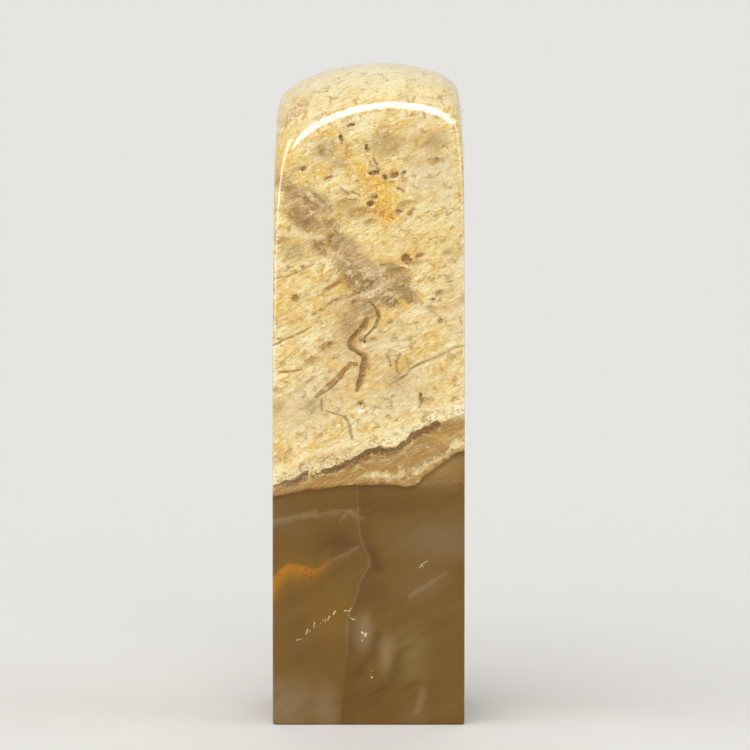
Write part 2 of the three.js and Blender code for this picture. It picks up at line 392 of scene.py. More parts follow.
# The brown band above the foot, its wedge to the right, and the folds of cream stone round them
UPPER_CREST = [
    (-16, 31.4, 0.8), (-12.5, 32.8, 0.7), (-10.4, 33.9, 0.6), (-8.4, 35, 0.5), (-6.3, 35.8, 0.4),
    (-4.7, 36.1, 0.4), (-2.3, 37.2, 0.6), (0.2, 37.8, 0.6), (3.4, 38.2, 0.5), (5, 38.9, 0.5),
    (7, 40.1, 0.6), (9.2, 41, 0.6), (12.4, 42.6, 0.6), (16, 44, 0.6),
]
BAND_LINE = [
    (-16, 30.6, 0.3), (-12.3, 31.3, 0.3), (-10.8, 31.7, 0.45), (-9.6, 31.9, 0.7), (-8.7, 32.5, 0.75),
    (-7.2, 32.9, 0.8), (-5.2, 33.3, 0.65), (-3.1, 33.95, 0.9), (-1.6, 34.7, 0.85), (-0.2, 35.5, 1.3),
    (1.3, 35.85, 1), (2.8, 35.95, 0.7), (4, 36.4, 1), (4.9, 37.1, 1.15), (6.3, 38.1, 1.3), (7.8, 38.8, 1),
    (9, 39.5, 0.5), (10.6, 40, -0.4),
]
# Painted shade: tan under the pale crest, above the band
SHADE_UNDER_CREST = [
    (-10.6, 33.4, -0.4), (-8.6, 33.9, 0.8), (-6.3, 34.5, 1.6), (-4, 34.8, 1.6), (-2, 35.6, 1.2),
    (-0.4, 36.4, -0.2),
]
WEDGE = [
    (6.6, 38.2, -0.4), (7.8, 38.5, 1.2), (8.9, 38.3, 2.3), (9.9, 38.4, 2.9), (11.2, 39, 2.9),
    (12.4, 39.6, 2.5), (16, 41, 2.5),
]
# Painted shade: brown under each cream ridge, sharp along its upper side and fading out below
PAINTED_RIDGE_SHADES = [
    [(-8.6, 31.2, -0.3), (-6.4, 31.8, 0.7), (-3.6, 32.6, 0.9), (-1.4, 33.3, 0.9), (0.2, 34, 0.6),
     (1.1, 33.6, 0.7), (2.8, 33.4, 0.6), (4.4, 33.7, 0.6), (5.7, 34.7, 0.5), (8, 35.9, 0.4),
     (9.2, 36.6, -0.2)],
    [(0, 33.6, -1), (0.6, 33.6, 0.5), (2.2, 33.4, 0.6), (4, 33.7, 0.8), (5.7, 34.8, 0.9), (6.9, 35.8, 0.8),
     (8.1, 37.2, 0.9), (9.9, 38.2, 0.7), (12.2, 39, 0.5), (16, 40, 0.5)],
    [(4.4, 32.4, -0.2), (5.6, 32.3, 0.5), (6.8, 32.6, 0.5), (7.4, 33, -0.1)],
]
CREAM_RIDGES = [
    [(-16, 30.4, 0.4), (-12.3, 30.9, 0.5), (-9.6, 31.2, 0.45), (-7.4, 32.2, 0.5), (-5.5, 32.7, 0.5),
     (-3.1, 33.3, 0.4), (-1.4, 34, 0.4), (0.2, 34.6, 0.4), (2.6, 35, 0.5), (3.7, 35.2, 0.3),
     (5.2, 36.6, 0.4), (6.8, 37.9, 0.6), (7.6, 38.2, -0.2)],
    [(-3.4, 31.9, -0.2), (-1.4, 32.4, 0.6), (0.2, 32.7, 0.9), (3.4, 32.5, 1.1), (5.4, 32.9, 1),
     (6.8, 33.2, 0.9), (8, 34.1, 1.1), (9.2, 34.9, 1.3), (10.2, 35.7, 1.6), (11.2, 36.6, 1.9),
     (12.4, 36.9, 1.7), (16, 38, 1.7)],
]

# Height of the brown foot's upper edge along the front wall
FOOT_EDGE = [
    (-16, 29.4, 0), (-12.5, 30, 0), (-10.4, 30.3, 0), (-8.7, 30.8, 0), (-6.3, 30.95, 0), (-3.7, 31.35, 0),
    (-1.4, 31.5, 0), (1.8, 31.5, 0), (5, 31.35, 0), (6.4, 31.7, 0), (7.4, 32.8, 0), (8.3, 33.4, 0),
    (9.3, 34.1, 0), (10.2, 34.7, 0), (11.2, 35.5, 0), (12.4, 36, 0), (16, 37.2, 0),
]

# The brown foot: broad patches, then veils, folds and grains that lie just under the skin
FOOT_PATCHES = [
    (BROWN_LIGHT, 9.8, 33.4, 4, 2.4, 20, 0.95), (BROWN_GREY, 9.5, 24.6, 7, 3.4, 0, 0.9),
    (BROWN_PALE, -10.8, 2.6, 5, 5, 0, 0.9), (BROWN_GREY, -11.2, 26.8, 3.6, 2.4, 0, 0.5),
    (BROWN_DARK, -4.2, 24, 3.8, 2.4, 10, 0.9), (BROWN_DARK, 1.6, 28.6, 5, 1.7, 0, 0.7),
    (BROWN_GOLD, -5.4, 15, 4.4, 4, 10, 0.8), (BROWN_DARK, 0.6, 17.2, 2.2, 2.2, 0, 0.6),
    (BROWN_GREY, 7, 18.4, 4, 2.4, 25, 0.5), (BROWN_OLIVE, 5.6, 9.4, 2.6, 4.4, 0, 0.9),
    (BROWN_PALE, -5.6, 2, 1.8, 3.8, 0, 0.8), (BROWN_DARK, 0.2, 3.4, 3, 3.4, 0, 0.6),
    (BROWN_GREY, 6, 1.6, 2, 3, 0, 0.5), (VEIL, -0.9, 12.1, 1.7, 2.9, 0, 0.6),
    (VEIL, 2.3, 9.4, 1.4, 3.4, 0, 0.5),
]
VEILS = [
    [(-16, 26.2, 0.6), (-12.5, 26.6, 0.6), (-11.2, 26.9, 0.6), (-9.8, 27.2, 0.5), (-8.2, 27.7, 0.4),
     (-6.6, 28.1, 0.2), (-6.2, 28.2, -1)],
    [(-9.2, 27.3, -1), (-8.6, 27.4, 0.2), (-6.6, 27.5, 0.3), (-5, 27.9, 0.3), (-3, 28.1, 0.2),
     (-1, 28.3, 0.2), (-0.6, 28.3, -1)],
    [(-3.9, 26.4, -1), (-3.7, 26.8, 0.2), (-3.2, 27.4, 0.5), (-2.5, 27.9, 0.6), (-1.7, 27.5, 0.5),
     (-1.2, 27.3, 0.3), (-0.4, 27.1, 0.2), (-0.1, 27, -1)],
    [(-6, 20.8, -1), (-5, 21.5, 0.2), (-3.1, 22.4, 0.2), (-1.2, 23.5, 0.1), (-0.8, 23.7, -1)],
    [(4.8, 16.7, -1), (5.3, 17, 0.4), (8, 18.7, 0.3), (10.2, 20.2, 0.2), (10.5, 20.4, -1)],
    [(5.6, 31.7, -1), (6.2, 31.7, 0.12), (9.2, 31.95, 0.12), (16, 32.3, 0.12)],
]
FOOT_SEAM = [
    (0, -3.7, -0.2), (2.1, -3.5, -0.2), (6, -3.1, -0.1), (9.3, -2.8, 0), (12, -2.7, 0.06),
    (14.2, -2.6, 0.12), (15.8, -2, 0.16), (17.5, -1.4, 0.16), (19.3, -0.9, 0.2), (20.6, -0.1, 0.24),
    (21.5, 0.15, 0.24), (23, -0.4, 0.2), (24.2, -0.9, 0.16), (26.9, -1.3, 0.1), (31, -1.4, 0.06),
]
DARK_FOLDS = [
    [(5.8, -1.5, -1), (6.2, -1.4, 0.4), (7.3, -1.2, 0.8), (8.4, -0.4, 0.9), (9.5, 0.5, 0.8),
     (10.9, 0.9, 0.6), (12.3, 1.3, 0.3), (12.9, 1.5, -1)],
    [(3.6, -0.6, -1), (4, 0.2, 0.6), (5.1, 2.1, 1), (6.2, 3, 1.1), (7.1, 3.4, 0.9), (8.4, 3.7, 0.7),
     (9.9, 4.5, 0.5), (10.5, 5.9, 0.3), (10.9, 6.6, -1)],
    [(4.1, 4.2, -1), (4.3, 4.5, 0.4), (5, 5.3, 0.6), (5.7, 6.2, 0.4), (6.1, 6.6, -1)],
    [(19.4, 1.7, -1), (20.1, 1.5, 0.6), (20.9, 1.2, 0.9), (22.3, 0.7, 0.8), (23.4, 0.1, 0.4),
     (23.8, -0.2, -1)],
]
PALE_FOLD = [
    (1.2, 6.2, -1), (1.6, 6.3, 0.5), (3.2, 6.8, 0.7), (4.9, 7.1, 0.4), (5.6, 7.2, -1),
]
ORANGE_STAIN = [
    (-16, 15.4, 5), (-12.5, 17.3, 4.2), (-11.3, 19, 3.4), (-10.1, 19.9, 2.7), (-8.5, 19.9, 2),
    (-7.4, 19.8, 1.5), (-6.3, 20.4, 0.9), (-5.2, 21.2, 0.4), (-4.6, 21.5, -1),
]
RUST_GRAINS = [
    (-9.3, 20.6, 0.13), (-8.2, 20.4, 0.13), (-7.5, 20, 0.15), (-7.4, 19.4, 0.18), (-8.2, 19.6, 0.12),
    (-5.2, 21.2, 0.15), (-5.1, 19.3, 0.14), (-10.5, 18.3, 0.16), (-8.5, 18.6, 0.14), (-7.9, 17.6, 0.15),
    (-11.5, 19.6, 0.13), (-6.4, 16.4, 0.14), (0.5, 13.5, 0.15), (1, 9.1, 0.14), (0.9, 8.2, 0.15),
    (1.9, 0.9, 0.13), (10.4, 31.9, 0.1), (11.9, 31.6, 0.14),
]
GLINTS = [
    (6.6, 20.6, 7, 21.1, 0.16), (6.8, 20.7, 7.1, 20.8, 0.1), (7.2, 21.2, 7.6, 21.5, 0.09),
    (-0.9, 12.2, -0.7, 12.05, 0.2), (-0.45, 11.7, -0.3, 12, 0.22), (-0.8, 11.2, -0.78, 11, 0.1),
    (0.2, 7.1, 0.6, 7.1, 0.07), (0.4, 6.3, 0.42, 6.25, 0.22), (-9.4, 11.1, -8.7, 11.3, 0.09),
    (-8.2, 12, -7.9, 12.6, 0.1), (-7.8, 12.2, -7.6, 12.5, 0.08), (-7.1, 12.8, -7, 13.5, 0.12),
    (-6.8, 13, -6.5, 13.1, 0.08), (-6.2, 13.3, -5.9, 13.9, 0.12), (-5.7, 13.5, -5.5, 13.9, 0.08),
    (-5.3, 13.8, -5.1, 14.3, 0.1), (-4.6, 14.5, -4.3, 14.9, 0.16), (-3.2, 14.9, -2.7, 15.1, 0.1),
    (-2.6, 14.9, -2.3, 15.4, 0.09), (-2.6, 14.4, -2.1, 13.9, 0.12), (-2.1, 13.9, -1.7, 13.9, 0.09),
]

# Open pits that the polishing cut into, and shallow dishes that the rubbing left. The first number is
# the azimuth of the side that they are on, from the front, and the rest are how far right of its middle,
# z, half length, half height, depth and turn.
HOLLOWS = [
    (0, 4.9, 60.8, 0.6, 0.5, 0.4, -30), (0, 0.7, 72, 0.8, 0.22, 0.3, 4), (0, 2.1, 71.4, 0.28, 0.4, 0.3, 20),
    (0, 3.35, 71.75, 0.6, 0.26, 0.3, 24), (0, 0.3, 68, 0.52, 0.34, 0.4, 30),
    (0, -3.5, 76.4, 0.26, 0.62, 0.3, 8), (0, -2.2, 78.15, 0.56, 0.24, 0.3, 14),
    (0, 0.95, 68.9, 0.3, 0.14, 0.3, 10), (0, 4.6, 72.1, 0.26, 0.2, 0.25, 0),
    (0, -0.25, 75.2, 0.2, 0.6, 0.25, 30), (0, -8.4, 72.5, 0.4, 0.24, 0.25, 20),
    (0, -0.55, 50.15, 0.2, 0.34, 0.25, 10), (0, -0.95, 42.1, 0.26, 0.14, 0.25, 10),
    (0, 6.75, 43, 0.14, 0.42, 0.25, -12), (90, -3.4, 68.2, 0.7, 0.3, 0.4, 26),
    (90, -1.9, 69.8, 0.34, 0.26, 0.3, 0), (90, 5.2, 57, 0.5, 0.24, 0.35, 30),
    (90, 6.1, 74.4, 0.3, 0.22, 0.3, 10), (180, -4.2, 64.3, 0.8, 0.34, 0.4, -24),
    (180, 5.8, 71.8, 0.5, 0.26, 0.35, -16), (180, 1.6, 47.9, 0.36, 0.22, 0.3, -30),
    (270, 2.6, 71.3, 0.6, 0.3, 0.4, 18), (270, -4.8, 60.4, 0.46, 0.3, 0.35, 34),
    (270, 6.4, 52.8, 0.34, 0.2, 0.3, 22),
]
DISHES = [
    (0, -9.35, 79.9, 1.4, 1.9, 0.9, -24), (180, 7.4, 78.6, 1.2, 1.5, 0.6, 30),
]

# The stone's mesh and its materials

def deselect_all():
    bpy.ops.object.select_all(action="DESELECT")


def make_active(piece):
    deselect_all()
    piece.select_set(True)
    bpy.context.view_layer.objects.active = piece


def merged_copy(node, name):
    """A copy of a CAD node with its loose triangles joined into one closed skin."""
    make_active(node)
    bpy.ops.object.duplicate()
    piece = bpy.context.object
    piece.name = piece.data.name = name
    for key in [k for k in piece.keys() if k.startswith("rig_")]:
        del piece[key]
    piece.parent = None
    bpy.ops.object.mode_set(mode="EDIT")
    bpy.ops.mesh.select_all(action="SELECT")
    bpy.ops.mesh.remove_doubles(threshold=WELD * MM)
    bpy.ops.mesh.tris_convert_to_quads()
    bpy.ops.object.mode_set(mode="OBJECT")
    return piece


def finished_stone():
    """The stone with the facets of its round parts smoothed out."""
    stone = merged_copy(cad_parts["seal_stone"], "polished_stone")
    rounding = stone.modifiers.new("rounding", "SUBSURF")
    rounding.levels = rounding.render_levels = SUBDIVISIONS
    bpy.ops.object.modifier_apply(modifier=rounding.name)
    bpy.ops.object.shade_smooth_by_angle(angle=SMOOTH_ANGLE)
    return stone


def hollow(stone, side, across, height, half_length, half_height, depth, turn):
    """A lumpy egg that stands half out of the stone, to be cut from it."""
    out = Matrix.Rotation(math.radians(side), 3, "Z") @ Vector((0, -1, 0))
    start = Matrix.Rotation(math.radians(side), 3, "Z") @ Vector((across, 0, height)) * MM + out
    _, place, normal, _ = stone.ray_cast(start, -out)
    bpy.ops.mesh.primitive_ico_sphere_add(subdivisions=4, radius=1.0, location=place)
    egg = bpy.context.object
    egg.scale = Vector((half_length, half_height, depth)) * MM
    egg.rotation_mode = "QUATERNION"
    egg.rotation_quaternion = normal.to_track_quat("Z", "Y") @ Quaternion((0, 0, 1), math.radians(turn))
    bpy.ops.object.transform_apply(location=True, rotation=True, scale=True)
    lumps = egg.modifiers.new("lumps", "DISPLACE")
    lumps.texture = hollow_lumps
    lumps.texture_coords = "GLOBAL"
    lumps.strength = min(LUMP_RISE * half_height, LUMP_RISE_MOST) * MM
    bpy.ops.object.modifier_apply(modifier=lumps.name)
    return egg


def join_all(pieces):
    deselect_all()
    for piece in pieces:
        piece.select_set(True)
    bpy.context.view_layer.objects.active = pieces[0]
    bpy.ops.object.join()
    return bpy.context.object


def merge_slivers(piece):
    """Merges the slivers that cutting leaves, so that the skin is closed and has no folded faces."""
    make_active(piece)
    bpy.ops.object.mode_set(mode="EDIT")
    bpy.ops.mesh.select_all(action="SELECT")
    bpy.ops.mesh.remove_doubles(threshold=SLIVER * MM)
    bpy.ops.mesh.dissolve_degenerate(threshold=SLIVER * MM)
    bpy.ops.mesh.quads_convert_to_tris()
    bpy.ops.mesh.remove_doubles(threshold=SLIVER * MM)
    bpy.ops.mesh.dissolve_degenerate(threshold=SLIVER * MM)
    bpy.ops.object.mode_set(mode="OBJECT")


def cut_hollows(stone):
    """Cuts the open hollows. Their eggs overlap, so each kind is first made one closed skin."""
    crust = hollow_crust("rough_hollow_crust", CRUST, CRUST_DARK, CRUST_PALE, 0.8)
    rubbed = hollow_crust("rubbed_hollow", DISH, DISH_DARK, CREAM_GREY, 0.45)
    cutters = []
    for several, material in ((HOLLOWS, crust), (DISHES, rubbed)):
        cutter = join_all([hollow(stone, *measures) for measures in several])
        cleaning = cutter.modifiers.new("cleaning", "REMESH")
        cleaning.mode = "VOXEL"
        cleaning.voxel_size = HOLLOW_VOXEL * MM
        bpy.ops.object.modifier_apply(modifier=cleaning.name)
        cutter.data.materials.append(material)
        cutters.append(cutter)
    cutter = join_all(cutters)
    make_active(stone)
    cutting = stone.modifiers.new("hollows", "BOOLEAN")
    cutting.operation = "DIFFERENCE"
    cutting.solver = "EXACT"
    cutting.material_mode = "TRANSFER"
    cutting.object = cutter
    bpy.ops.object.modifier_apply(modifier=cutting.name)
    bpy.data.objects.remove(cutter)
    merge_slivers(stone)
    bpy.ops.object.shade_smooth_by_angle(angle=SMOOTH_ANGLE)


def new_material(name):
    """A material with no nodes yet, and its node tree."""
    material = bpy.data.materials.new(name)
    material.use_nodes = True
    material.node_tree.nodes.clear()
    return material, material.node_tree


def place_in_millimetres(tree):
    where = add(tree, "ShaderNodeTexCoord")
    return add(tree, "ShaderNodeVectorMath", {0: where.outputs["Object"], 1: (1 / MM,) * 3},
               operation="MULTIPLY")


def hollow_crust(name, tone, dark, pale, roughness):
    """The skin of a hollow that polishing has opened: sandy, with grains of about 0.3 mm, and matt
    where no paper has reached it."""
    material, tree = new_material(name)
    place = place_in_millimetres(tree)
    sand = add(tree, "ShaderNodeTexNoise", {"Vector": place, "Scale": 3.0, "Detail": 4.0, "Roughness": 0.7})
    colour = paint(tree, linear(tone), dark, sand, 0.48, 0.64)
    colour = paint(tree, colour, pale, sand, 0.44, 0.32, 0.9)
    grit = add(tree, "ShaderNodeBump", {"Strength": roughness, "Distance": 0.15 * MM, "Height": sand})
    rough = add(tree, "ShaderNodeMapRange",
                {0: sand, 1: 0.3, 2: 0.7, 3: roughness - 0.15, 4: roughness + 0.1})
    shader = add(tree, "ShaderNodeBsdfPrincipled", {"Base Color": colour, "Roughness": rough, "Normal": grit})
    add(tree, "ShaderNodeOutputMaterial", {"Surface": shader})
    return material


def waxed_stone():
    """Soft carving stone, ground with ever finer paper, buffed and waxed: a glassy skin over a body
    that light enters a little way, so the pattern shows through clearly and its hollows look deep.
    Noise scales are per millimetre: at 0.9, a lump is about 1 mm across. The real crumbs and threads
    are 0.1 to 0.2 mm, and are drawn at about twice that so that they show."""
    material, tree = new_material("waxed_carving_stone")

    # Millimetres, roughened so that no drawn edge is even
    place = place_in_millimetres(tree)
    shiver = add(tree, "ShaderNodeTexNoise",
                 {"Vector": place, "Scale": 0.8, "Detail": 5.0, "Roughness": 0.66})
    shift = add(tree, "ShaderNodeVectorMath",
                {0: shiver.outputs["Color"], 1: (SHIVER,) * 3, 2: (-SHIVER / 2,) * 3},
                operation="MULTIPLY_ADD")
    ragged = add(tree, "ShaderNodeVectorMath", {0: place, 1: shift}, operation="ADD")
    near_skin = add(tree, "ShaderNodeVectorMath", {0: ragged, 1: (0, -FRONT, 0)}, operation="ADD")
    lumps = add(tree, "ShaderNodeTexNoise",
                {"Vector": place, "Scale": 0.9, "Detail": 5.0, "Roughness": 0.7, "Distortion": 0.4})

    # Veins and bands are sheets that run back through the stone, leaning and wandering with depth
    [back] = lengths(tree, place, [(0, 1, 0)])
    depth = add(tree, "ShaderNodeMath", {0: back, 1: -FRONT}, operation="ADD")
    wander = add(tree, "ShaderNodeTexNoise", {"Vector": place, "Scale": 0.1, "Detail": 3.0})
    drift = add(tree, "ShaderNodeVectorMath",
                {0: wander.outputs["Color"], 1: (SHEET_WANDER,) * 3,
                 2: (SHEET_LEAN - SHEET_WANDER / 2, 0, SHEET_DIP - SHEET_WANDER / 2)},
                operation="MULTIPLY_ADD")
    drifted = add(tree, "ShaderNodeVectorMath", {0: drift, 3: depth}, operation="SCALE")
    sheet = add(tree, "ShaderNodeVectorMath", {0: ragged, 1: drifted}, operation="ADD")
    sheet = add(tree, "ShaderNodeVectorMath", {0: sheet, 1: (1, 0, 1)}, operation="MULTIPLY")
    x, z = lengths(tree, sheet, [(1, 0, 0), (0, 0, 1)])

    # Threads in the smoke are thrown about more
    thrown = add(tree, "ShaderNodeVectorMath",
                 {0: lumps.outputs["Color"], 1: (THREAD_SHIVER, 0, THREAD_SHIVER)}, operation="MULTIPLY")
    thread_sheet = add(tree, "ShaderNodeVectorMath", {0: sheet, 1: thrown}, operation="ADD")
    thread_sheet = add(tree, "ShaderNodeVectorMath",
                       {0: thread_sheet, 1: (THREAD_SHIVER / 2, 0, THREAD_SHIVER / 2)}, operation="SUBTRACT")

    # The bedding rises to the right, and its fibres are drawn out along it
    bedding = turned(tree, place, Euler(BEDDING_TURN).to_matrix())

    def fibres(length, width, **choices):
        """Noise whose grains are of this length along the bedding and this width across it."""
        squeezed = add(tree, "ShaderNodeVectorMath", {0: bedding, 1: (1 / length, 0.6 / width, 1 / width)},
                       operation="MULTIPLY")
        grain = {"Vector": squeezed, "Scale": 1.0, "Detail": 3.0, "Roughness": 0.6}
        grain.update(choices)
        return add(tree, "ShaderNodeTexNoise", grain)

    clouds = add(tree, "ShaderNodeTexNoise",
                 {"Vector": place, "Scale": 0.16, "Detail": 5.0, "Roughness": 0.6, "Distortion": 0.5})
    crumbs = add(tree, "ShaderNodeTexNoise", {"Vector": place, "Scale": 2.8, "Detail": 3.0, "Roughness": 0.7})
    broad = fibres(5.0, 2.2, Detail=6.0, Roughness=0.68, Distortion=0.6)
    streaks = fibres(1.9, 0.5, Detail=4.0, Distortion=0.7)
    threads = fibres(1.3, 0.26, Distortion=0.4)
    smears = fibres(9.0, 1.6)

    def across(points):
        return course(tree, x, z, points)

    def down(points):
        return course(tree, z, x, points)

    def swayed(distance, noise, amount):
        """A distance that a noise lengthens, by up to this amount."""
        return add(tree, "ShaderNodeMath", {0: noise, 1: amount, 2: distance}, operation="MULTIPLY_ADD")

    def worn(distance, amount):
        """A distance with fine crumbs added, so that a mark drawn from it has a crumbling edge."""
        crumb = swayed(swayed(-amount, crumbs, amount), lumps, amount)
        return add(tree, "ShaderNodeMath", {0: distance, 1: crumb}, operation="ADD")

    def thinning(distance):
        return swayed(distance, depth, THINNING)

    def seam_of(noise):
        """How far a noise is from its middle value, which is least on fine winding lines."""
        above = add(tree, "ShaderNodeMath", {0: noise, 1: 0.5}, operation="SUBTRACT")
        return add(tree, "ShaderNodeMath", {0: above}, operation="ABSOLUTE")

    def patches(under, several):
        """Broad changes of tone that fade out to nothing."""
        for tone, px, pz, half_length, half_height, turn, strength in several:
            distance = spots(tree, ragged, [(px, pz, half_height)], turn, half_length / half_height)
            cloudy = swayed(distance, clouds, half_height)
            under = paint(tree, under, tone, cloudy, half_height * 0.9, -half_height * 0.5, strength)
        return under

    # The body of the cream stone: pale, with golden crumbs and browner streaks along the bedding
    net_place = add(tree, "ShaderNodeVectorMath",
                    {0: lumps.outputs["Color"], 1: (1.4,) * 3, 2: bedding}, operation="MULTIPLY_ADD")
    net_place = add(tree, "ShaderNodeVectorMath", {0: net_place, 1: (0.5, 0.8, 0.9)}, operation="MULTIPLY")
    cells = add(tree, "ShaderNodeTexVoronoi", {"Vector": net_place, "Scale": 1.0, "Randomness": 1.0},
                feature="DISTANCE_TO_EDGE")
    cream = linear(CREAM)
    for tone, *measures in [
        (CREAM_GREY, clouds, 0.48, 0.62, 0.7), (GOLD, broad, 0.5, 0.6, 0.5), (TAN, broad, 0.59, 0.7, 0.5),
        (CREAM_PALE, broad, 0.46, 0.34, 0.85), (TAN, lumps, 0.54, 0.68, 0.6),
        (GOLD, streaks, 0.52, 0.64, 0.6), (OCHRE, streaks, 0.6, 0.72, 0.6),
        (CREAM_PALE, streaks, 0.47, 0.36, 0.75), (GOLD, swayed(cells, broad, -1.0), -0.36, -0.5, 0.8),
        (CREAM_PALE, threads, 0.53, 0.64, 0.6), (GOLD, threads, 0.46, 0.36, 0.5),
        (OCHRE, crumbs, 0.58, 0.7, 0.35), (CREAM_PALE, crumbs, 0.46, 0.34, 0.4),
    ]:
        cream = paint(tree, cream, tone, *measures)
    cream = patches(cream, CREAM_PATCHES)
    [height] = lengths(tree, place, [(0, 0, 1)])
    # Painted light: the crown, which faces the light from above, is painted paler towards its top
    cream = paint(tree, cream, CREAM_PALE, height, CROWN_PAINTED_LIGHT_FROM, STONE_HIGH.z / MM, 0.7)

    # Smoke, in banks of brown with pale threads winding over them
    river = keep_nearest(tree, outside(tree, across(RIVER_MOUTH)), outside(tree, down(RIVER)))
    river = add(tree, "ShaderNodeMath", {0: worn(river, 3.0), 1: 4.0}, operation="SUBTRACT")
    river = swayed(river, clouds, 8.0)
    cream = paint(tree, cream, TAN, river, 1.6, -0.4, 0.4)
    cream = paint(tree, cream, SMOKE_PALE, river, 1.0, -1.2, 0.75)
    banks = worn(spots(tree, ragged, SMOKE_BANKS, -34, 1.9), 2.4)
    smoke = paint(tree, linear(SMOKE), SMOKE_DARK, broad, 0.5, 0.6, 0.8)
    smoke = paint(tree, smoke, SMOKE_PALE, lumps, 0.5, 0.66, 0.6)
    cream = paint(tree, cream, OCHRE, banks, 0.6, 0.1, 0.4)
    cream = paint(tree, cream, smoke, banks, 0.25, -0.35, 0.9)
    haze = worn(spots(tree, ragged, SMOKE_PATCHES, 10, 1.4), 2.0)
    cream = paint(tree, cream, SMOKE, haze, 0.6, -0.9, 0.55)
    cream = paint(tree, cream, THREAD, swayed(river, seam_of(broad), 50.0), 1.0, -0.6, 0.35)
    cream = paint(tree, cream, THREAD, swayed(river, threads, -30.0), -17.0, -20.0, 0.4)
    drawn_threads = worn(strokes(tree, thread_sheet, RIVER_THREADS), 0.9)
    cream = paint(tree, cream, THREAD, drawn_threads, 0.3, -0.15, 0.75)

    # Golden crumbs
    net = outside(tree, down(GOLDEN_NET))
    for noise, amount in ((lumps, 8.0), (crumbs, 9.0), (streaks, 8.0)):
        net = swayed(net, noise, amount)
    cream = paint(tree, cream, GOLD_BRIGHT, net, 12.2, 10.4, 0.75)
    cream = paint(tree, cream, ORANGE, swayed(net, seam_of(lumps), 60.0), 12.6, 11.0, 0.7)

    # Spots, from the palest to the darkest
    # The tan and ochre spots are the stone's own colour; their crisp upper-left side, fading down to the
    # right, is painted shade
    tan_spots = spots(tree, ragged, TAN_SPOTS, 12, 1.9)
    cream = paint(tree, cream, TAN, worn(fading_spots(tree, tan_spots, ragged, 0.22), 1.4), 0.4, -0.4, 0.9)
    ochre_spots = spots(tree, ragged, OCHRE_SPOTS, 24, 1.8)
    round_spots = spots(tree, ragged, ROUND_SPOTS)
    long_spots = spots(tree, ragged, LONG_SPOTS, 29, 4.6)
    for drawn in (ochre_spots, round_spots, long_spots):
        faded = worn(fading_spots(tree, drawn, ragged, 0.1), 0.8)
        cream = paint(tree, cream, OCHRE, faded, 0.2, -0.25, 0.9)
    ochre_spots = keep_nearest(tree, keep_nearest(tree, ochre_spots, round_spots), long_spots)
    orange_spots = worn(spots(tree, ragged, ORANGE_SPOTS, 10, 1.3), 1.6)
    cream = paint(tree, cream, ORANGE, orange_spots, 0.3, -0.3, 0.9)
    slits = strokes(tree, near_skin, SLITS)
    cream = paint(tree, cream, OCHRE, worn(slits, 0.7), 0.12, -0.25, 0.8)
    brown_spots = spots(tree, ragged, BROWN_SPOTS, 15, 1.3)
    cream = paint(tree, cream, OCHRE, worn(brown_spots, 0.5), 0.25, 0.0, 0.6)
    cream = paint(tree, cream, UMBER, worn(brown_spots, 0.5), 0.06, -0.14, 0.8)

    # Lines and veins, darker along one side than the other
    for points in OCHRE_LINES:
        cream = paint(tree, cream, OCHRE, worn(outside(tree, across(points)), 0.2), 0.08, -0.06, 0.8)
    cream = paint(tree, cream, SMOKE, worn(outside(tree, down(FOLD)), 0.2), 0.14, -0.1, 0.8)
    cracks = keep_nearest(tree, outside(tree, across(LONG_CRACK)), strokes(tree, sheet, SHORT_CRACKS))
    cracks = thinning(worn(cracks, 0.3))
    cream = paint(tree, cream, OCHRE, cracks, 0.25, 0.0, 0.5)
    cream = paint(tree, cream, VEIN_DARK, cracks, 0.04, -0.1, 0.7)
    channel = down(SIDE_CHANNEL)
    channel_tone = paint(tree, linear(VEIN_DARK), VEIN_LIGHT, channel[0], -0.1, 0.3)
    cream = paint(tree, cream, channel_tone, thinning(outside(tree, channel)), 0.1, -0.06, 0.9)
    branch = across(VEIN_BRANCH)
    branch_tone = paint(tree, linear(VEIN_DARK), OCHRE, branch[0], -0.42, -0.12)
    cream = paint(tree, cream, branch_tone, thinning(outside(tree, branch)), 0.06, -0.05, 0.9)
    vein = down(MAIN_VEIN)
    vein_edge = thinning(outside(tree, vein))
    vein_tone = paint(tree, linear(VEIN_DARK), VEIN, vein[0], -0.42, -0.1)
    vein_tone = paint(tree, vein_tone, VEIN_LIGHT, vein[0], 0.0, 0.4)
    cream = paint(tree, cream, TAN, vein_edge, 0.5, 0.05, 0.5)
    cream = paint(tree, cream, vein_tone, vein_edge, 0.05, -0.06, 0.95)

    # The band, its wedge and the folds of cream stone, with painted shade under the folds and painted light
    # on their tops
    band = across(BAND_LINE)
    foot_edge = course(tree, x, z, FOOT_EDGE)[0]
    cream = paint(tree, cream, WEDGE_BROWN, band[0], 0.2, -0.8, 0.88)
    # Painted shade under the crest and under each cream ridge
    cream = paint(tree, cream, TAN, worn(outside(tree, across(SHADE_UNDER_CREST)), 1.2), 0.6, -0.5, 0.6)
    for points in PAINTED_RIDGE_SHADES:
        painted_ridge_shade = worn(fading_line(tree, across(points)), 1.6)
        cream = paint(tree, cream, BAND_LIGHT, painted_ridge_shade, 0.8, -0.5, 0.9)
    # The cream ridges are the stone's own pale stone, and their palest middles are partly painted light on
    # their tops
    for points in CREAM_RIDGES:
        ridge = worn(outside(tree, across(points)), 2.6)
        cream = paint(tree, cream, CREAM, ridge, 0.3, -0.6, 0.55)
        cream = paint(tree, cream, CREAM_PALE, ridge, -0.3, -1.1, 0.4)
